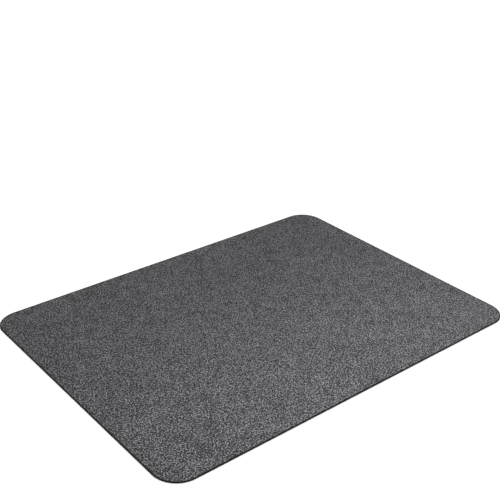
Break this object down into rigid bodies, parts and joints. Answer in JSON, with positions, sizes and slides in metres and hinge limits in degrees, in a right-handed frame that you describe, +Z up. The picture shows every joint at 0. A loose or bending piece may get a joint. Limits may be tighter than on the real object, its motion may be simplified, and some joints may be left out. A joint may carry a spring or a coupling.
{
  "type": "chair mat",
  "caption": "Flat rounded-rectangle office chair mat: grey felt face bonded to a black non-slip backing, with a dark sealed edge.",
  "frame": {"origin": "centre of the mat's underside, on the floor plane", "axes": "+X along the long side, +Y along the short side, +Z up out of the felt face"},
  "size_m": [1.194, 0.889, 0.0032],
  "materials": {
    "felt": "needle-punched polyester felt, heathered charcoal grey, soft low sheen, fine loose fibres",
    "backing": "matt black moulded elastomer with a fine skin texture and low round grip dots",
    "seal": "smooth black sealant bead, slightly satin, with soft ripples and dust",
    "film": "milky hot-melt adhesive film"
  },
  "bodies": {
    "root": {"backing_sheet": "backing", "bond_film": "film", "felt_face": "felt", "edge_seal": "seal"}
  },
  "joints": []
}
